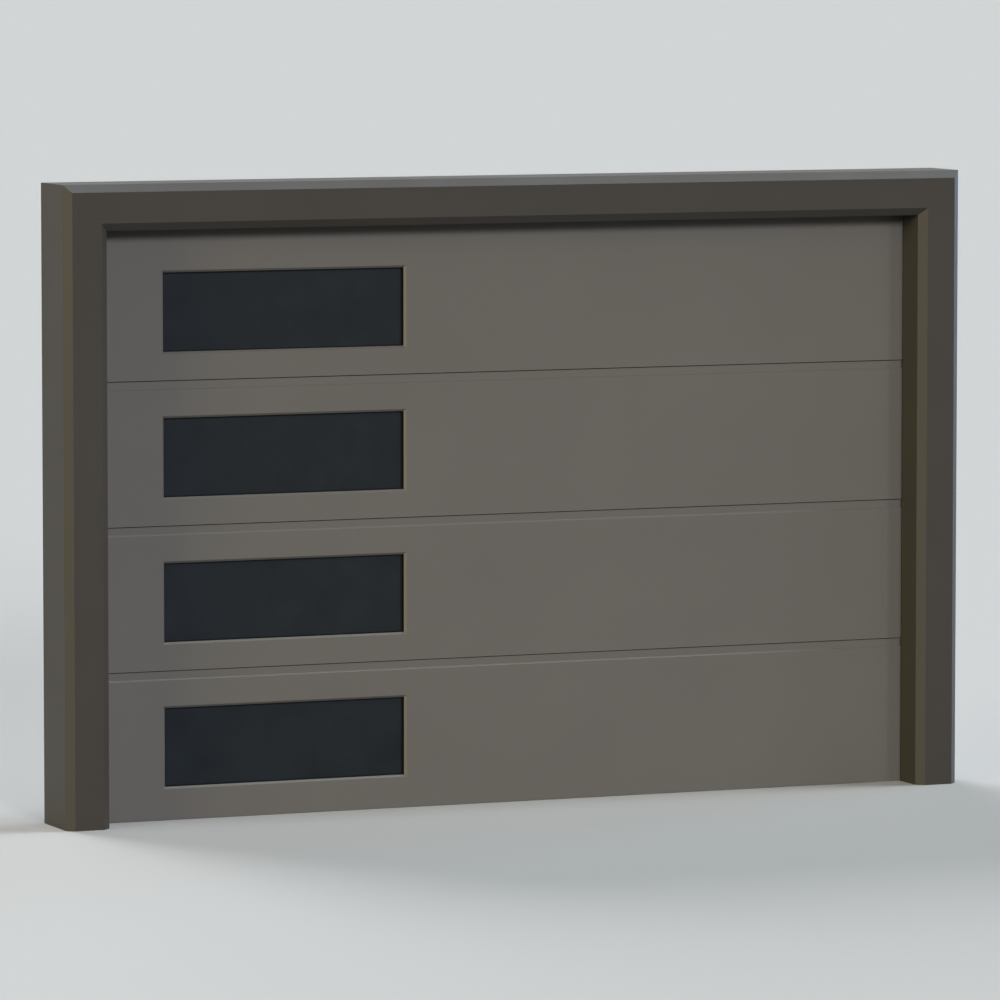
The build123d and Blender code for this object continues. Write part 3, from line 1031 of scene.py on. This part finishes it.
@dataclass
class Ironmongery(Assembly):
    """End caps, hinges, brackets, rollers and tracks inside the door."""

    screw: FlangedScrew = FlangedScrew()
    track_screw: LowScrew = LowScrew(5.5 * MILLIMETRE, 2.6 * MILLIMETRE, 2.4 * MILLIMETRE)
    rivet: BlindRivet = BlindRivet()
    shield: Collar = Collar(5.2 * MILLIMETRE, 8.8 * MILLIMETRE, 0.6 * MILLIMETRE, 0.3 * MILLIMETRE)
    clip: Collar = Collar(4.6 * MILLIMETRE, 8.6 * MILLIMETRE, 1.0 * MILLIMETRE, mouth=70.0)
    push_nut: Collar = Collar(
        4.7 * MILLIMETRE, 7.6 * MILLIMETRE, 1.4 * MILLIMETRE, 0.5 * MILLIMETRE
    )
    push_nut_inset: float = 2.0 * MILLIMETRE
    screw_spread: float = 36.0 * MILLIMETRE
    leaf_height: float = 46.0 * MILLIMETRE
    plate: float = 2.5 * MILLIMETRE
    bracket_rows: tuple[float, float] = (18.0 * MILLIMETRE, 74.0 * MILLIMETRE)
    track_sheet: float = 2.0 * MILLIMETRE
    track_screw_heights: tuple[float, ...] = (0.160, 0.740, 1.230, 1.720, 2.025)
    rivet_shares: tuple[float, ...] = (0.38, 0.58, 0.78)
    rivet_edge: float = 14.0 * MILLIMETRE
    end_hinge_half: float = 30.0 * MILLIMETRE
    barrel_half: float = 22.0 * MILLIMETRE
    end_hinge_x: float = 1.484
    hinge_turns: tuple[float, float] = (11.0, 37.0)
    bracket_turns: tuple[float, float] = (5.0, 48.0)
    turn_per_metre: float = 900.0
    track_screw_turn: float = 31.0
    clip_turn: float = 140.0
    leaf_joints: int = 3

    def dress(self) -> None:
        """Gives the sheet parts their zinc, the pins their plating and the wheels their nylon."""
        zinc = Galvanised("galvanised_sheet").material()
        sheet = ["track_left", "track_right", "bottom_brackets", "top_brackets"]
        folded = ("end_caps_", "hinge_lower", "hinge_upper")
        sheet += [name for name in self.nodes if name.startswith(folded)]
        self.paint(sheet, zinc)
        plated = ZincPlate("zinc_plate").material()
        pins = numbered("hinge_pins", self.leaf_joints)
        self.paint([*pins, "roller_stems"], plated)
        nylon = MouldedPlastic("nylon", (0.70, 0.69, 0.64), (0.39, 0.51)).material()
        self.paint(["roller_wheels"], nylon)
        self.fasten(plated)

    def fasten(self, plated: bpy.types.Material) -> None:
        """Adds the screws, rivets, shields, clips and nuts, and logs each kind.

        Args:
            plated: The finish that they share.
        """
        screws = Pattern(self.screw.build())
        for number in range(1, self.leaf_joints + 1):
            self.add_all(screws, f"hinge_screws_{number}", self.hinge_screw_places(number), plated)
        self.add_all(screws, "bracket_screws", self.bracket_screw_places(), plated)
        screws.discard()
        kinds = (
            (self.track_screw, "track_screws", self.track_screw_places()),
            (self.rivet, "cap_rivets", self.rivet_places()),
            (self.shield, "roller_shields", self.shield_places()),
            (self.clip, "stem_clips", self.clip_places()),
            (self.push_nut, "pin_nuts", self.push_nut_places()),
        )
        for model, name, places in kinds:
            pattern = Pattern(model.build())
            self.add_all(pattern, name, places, plated)
            pattern.discard()

    def add_all(
        self, pattern: Pattern, name: str, places: list[Matrix], finish: bpy.types.Material
    ) -> None:
        """Copies a fastener to its places as one piece and logs how many there are."""
        settle(pattern.repeat(name, places), finish)
        log.info("  %s: %d", name, len(places))

    def hinge_screw_places(self, number: int) -> list[Matrix]:
        """Finds the places of the screws in the hinge leaves at one joint.

        Args:
            number: The joint, counted from the bottom.

        Returns:
            Two places for each hinge leaf.
        """
        places = []
        for side, name in ((-1, "hinge_lower_leaves"), (1, "hinge_upper_leaves")):
            for box in solid_boxes(self.nodes[f"{name}_{number}"]):
                far_end = box.low.z if side < 0 else box.high.z
                height = far_end - side * self.leaf_height / 2
                for turn, across in zip(self.hinge_turns, (-0.5, 0.5)):
                    x = box.centre.x + across * self.screw_spread
                    places.append(facing_inside(Vector((x, box.low.y + self.plate, height)), turn))
        return places

    def bracket_screw_places(self) -> list[Matrix]:
        """Finds the places of the screws in the roller brackets.

        Returns:
            Four places for each bracket.
        """
        places = []
        for side, name in ((1, "bottom_brackets"), (-1, "top_brackets")):
            for box in solid_boxes(self.nodes[name]):
                far_end = box.high.z if side > 0 else box.low.z
                for row in self.bracket_rows:
                    for turn, across in zip(self.bracket_turns, (-0.5, 0.5)):
                        x = box.centre.x + across * self.screw_spread
                        place = Vector((x, box.low.y + self.plate, far_end - side * row))
                        places.append(facing_inside(place, turn + self.turn_per_metre * row))
        return places

    def track_screw_places(self) -> list[Matrix]:
        """Finds the places of the screws through the web of each track into its jamb.

        Returns:
            The places, from the lowest up.
        """
        places = []
        for side, name in ((-1, "track_left"), (1, "track_right")):
            low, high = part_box(name)
            web = high.x - self.track_sheet if side > 0 else low.x + self.track_sheet
            middle = (low.y + high.y) / 2
            for index, height in enumerate(self.track_screw_heights):
                turn = self.track_screw_turn * index
                places.append(facing_sideways(Vector((web, middle, height)), -side, turn))
        return places

    def rivet_places(self) -> list[Matrix]:
        """Finds the places of the rivets on the back and the end of each cap.

        Returns:
            Two columns of places for each cap.
        """
        places = []
        for name in numbered("end_caps", self.leaf_joints + 1):
            for box in solid_boxes(self.nodes[name]):
                side = 1 if box.centre.x > 0 else -1
                inner = box.low.x + self.rivet_edge if side > 0 else box.high.x - self.rivet_edge
                outer = box.high.x if side > 0 else box.low.x
                for share in self.rivet_shares:
                    height = box.low.z + share * (box.high.z - box.low.z)
                    places.append(facing_inside(Vector((inner, box.high.y, height))))
                    places.append(facing_sideways(Vector((outer, box.centre.y, height)), side))
        return places

    def shield_places(self) -> list[Matrix]:
        """Finds the places of the bearing shields on both faces of each wheel.

        Returns:
            Two places for each wheel.
        """
        return [
            facing_sideways(Vector((x, *box.centre.yz)), side)
            for box in solid_boxes(self.nodes["roller_wheels"])
            for side, x in ((-1, box.low.x), (1, box.high.x))
        ]

    def clip_places(self) -> list[Matrix]:
        """Finds the places of the clips that keep each stem in its hinge or bracket.

        Returns:
            One place for each stem.
        """
        stems = solid_boxes(self.nodes["roller_stems"])
        lowest, highest = stems[0].centre.z, stems[-1].centre.z
        places = []
        for box in stems:
            side = 1 if box.centre.x > 0 else -1
            from_end = min(abs(box.centre.z - lowest), abs(box.centre.z - highest))
            half = self.barrel_half if from_end < 1.0 * MILLIMETRE else self.end_hinge_half
            beside = Vector((side * (self.end_hinge_x + half), *box.centre.yz))
            places.append(facing_sideways(beside, side, self.clip_turn))
        return places

    def push_nut_places(self) -> list[Matrix]:
        """Finds the place of the nut on the plain end of each hinge pin.

        Returns:
            One place for each pin.
        """
        return [
            facing_sideways(Vector((box.high.x - self.push_nut_inset, *box.centre.yz)), 1)
            for name in numbered("hinge_pins", self.leaf_joints)
            for box in solid_boxes(self.nodes[name])
        ]


def way_to(azimuth: float, elevation: float) -> Vector:
    """Finds the way from the door to a lamp or the camera.

    Args:
        azimuth: Degrees round the door, 0 in front of it and 90 on its right.
        elevation: Degrees above the floor.

    Returns:
        The way, 1 metre long.
    """
    turn, rise = math.radians(azimuth), math.radians(elevation)
    return Vector(
        (math.sin(turn) * math.cos(rise), -math.cos(turn) * math.cos(rise), math.sin(rise))
    )


@dataclass(frozen=True)
class ViewOfPhoto:
    """The camera, as worked out from the photograph's edges."""

    yaw: float = 22.8919
    pitch: float = 4.9096
    distance: float = 23.9948
    lens: float = 253.24
    sensor: float = 36.0
    sees_to: float = 2000.0
    aim_height: float = 1.07743
    aim_side: float = 0.0854
    aim_rise: float = 0.0221
    front: float = -0.120

    def build(self) -> None:
        """Adds the camera and makes it the scene's own."""
        yaw = math.radians(self.yaw)
        ahead = -way_to(-self.yaw, self.pitch)
        right = Vector((math.cos(yaw), -math.sin(yaw), 0.0))
        up = right.cross(ahead)
        aim = Vector((0.0, self.front, self.aim_height))
        place = aim - self.distance * ahead - self.aim_side * right - self.aim_rise * up
        data = bpy.data.cameras.new("photo_camera")
        data.sensor_width = self.sensor
        data.lens = self.lens
        data.clip_end = self.sees_to
        camera = bpy.data.objects.new("photo_camera", data)
        axes = Matrix((right, up, -ahead)).transposed()
        camera.matrix_world = Matrix.Translation(place) @ axes.to_4x4()
        bpy.context.scene.collection.objects.link(camera)
        bpy.context.scene.camera = camera


@dataclass(frozen=True)
class SoftSun:
    """A wide soft lamp, the same strength all over the floor.

    A low one that isn't mirrored lights the coats without a glare on them seen from the far side.
    """

    name: str
    azimuth: float
    elevation: float
    strength: float
    spread: float
    colour: Colour = (1.0, 1.0, 1.0)
    mirrored: bool = True

    def build(self) -> None:
        """Adds the lamp."""
        data = bpy.data.lights.new(self.name, "SUN")
        data.energy = self.strength
        data.angle = math.radians(self.spread)
        data.color = self.colour
        lamp = bpy.data.objects.new(self.name, data)
        towards = way_to(self.azimuth, self.elevation)
        lamp.rotation_euler = towards.to_track_quat("Z", "Y").to_euler()
        lamp.visible_glossy = self.mirrored
        bpy.context.scene.collection.objects.link(lamp)


@dataclass(frozen=True)
class Studio:
    """A plain pale floor under an even sky and soft lamps."""

    floor_size: float = 1200.0
    floor_colour: Colour = (0.52, 0.512, 0.508)
    floor_bounce: Colour = (0.08, 0.08, 0.08)
    sky_strength: float = 0.06
    background: float = 0.67
    suns: tuple[SoftSun, ...] = (
        SoftSun("key", -2.0, 16.5, 1.94, 13.0, (0.92, 0.94, 1.0), mirrored=False),
        SoftSun("second", 22.0, 15.5, 0.38, 6.0, (1.0, 0.90, 0.75), mirrored=False),
        SoftSun("left", -71.0, 9.0, 1.7, 18.0, (1.0, 0.86, 0.46)),
        SoftSun("right", 75.0, 8.0, 0.75, 20.0, (0.92, 0.96, 1.0), mirrored=False),
        SoftSun("rim", 112.0, 10.0, 1.15, 20.0, (0.38, 0.68, 1.0)),
        SoftSun("overhead", 80.0, 66.0, 1.5, 16.0, (0.82, 0.94, 1.0)),
        SoftSun("high", 10.0, 60.0, 0.14, 30.0, (0.96, 0.98, 1.0)),
        SoftSun("inside", -165.0, 38.0, 1.75, 25.0),
        SoftSun("rear", 176.0, 14.0, 1.45, 30.0, (0.97, 0.98, 1.0), mirrored=False),
    )

    def build(self) -> None:
        """Adds the floor, the sky and the lamps."""
        self.lay_floor()
        self.light_sky()
        for sun in self.suns:
            sun.build()
        view = bpy.context.scene.view_settings
        view.view_transform = "Standard"

    def lay_floor(self) -> None:
        """Adds the floor, which isn't fixed to the door."""
        deselect()
        bpy.ops.mesh.primitive_plane_add(size=self.floor_size, location=(0, 0, 0))
        floor = bpy.context.object
        floor.name = "studio_floor"
        graph = Finish("studio_floor")
        graph.set(
            Base_Color=graph.mix(graph.seen(), self.floor_bounce, self.floor_colour),
            Roughness=1.0,
            Specular_IOR_Level=0.0,
        )
        floor.data.materials.append(graph.material)

    def light_sky(self) -> None:
        """Lights the scene evenly, with a pale sky for the camera and for gloss."""
        world = bpy.data.worlds.new("studio_sky")
        bpy.context.scene.world = world
        graph = Graph(world)
        white = (1.0, 1.0, 1.0, 1.0)
        lit = graph.add("ShaderNodeBackground", {"Color": white, "Strength": self.sky_strength})
        shown = graph.add("ShaderNodeBackground", {"Color": white, "Strength": self.background})
        inputs = {0: graph.seen(), 1: lit.outputs[0], 2: shown.outputs[0]}
        sky = graph.add("ShaderNodeMixShader", inputs).outputs[0]
        graph.add("ShaderNodeOutputWorld", {"Surface": sky})


def main() -> None:
    """Dresses the door and sets up the studio."""
    logging.basicConfig(level=logging.INFO, format="%(message)s")
    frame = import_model()
    nodes = frame["nodes"]
    ViewOfPhoto().build()
    Studio().build()
    log.info("camera and studio")
    for kind in (Surround, Leaf, Glazing, Seals, Ironmongery):
        assembly = kind(nodes)
        assembly.dress()
        log.info("%s", type(assembly).__name__)


if __name__ == "__main__":
    main()
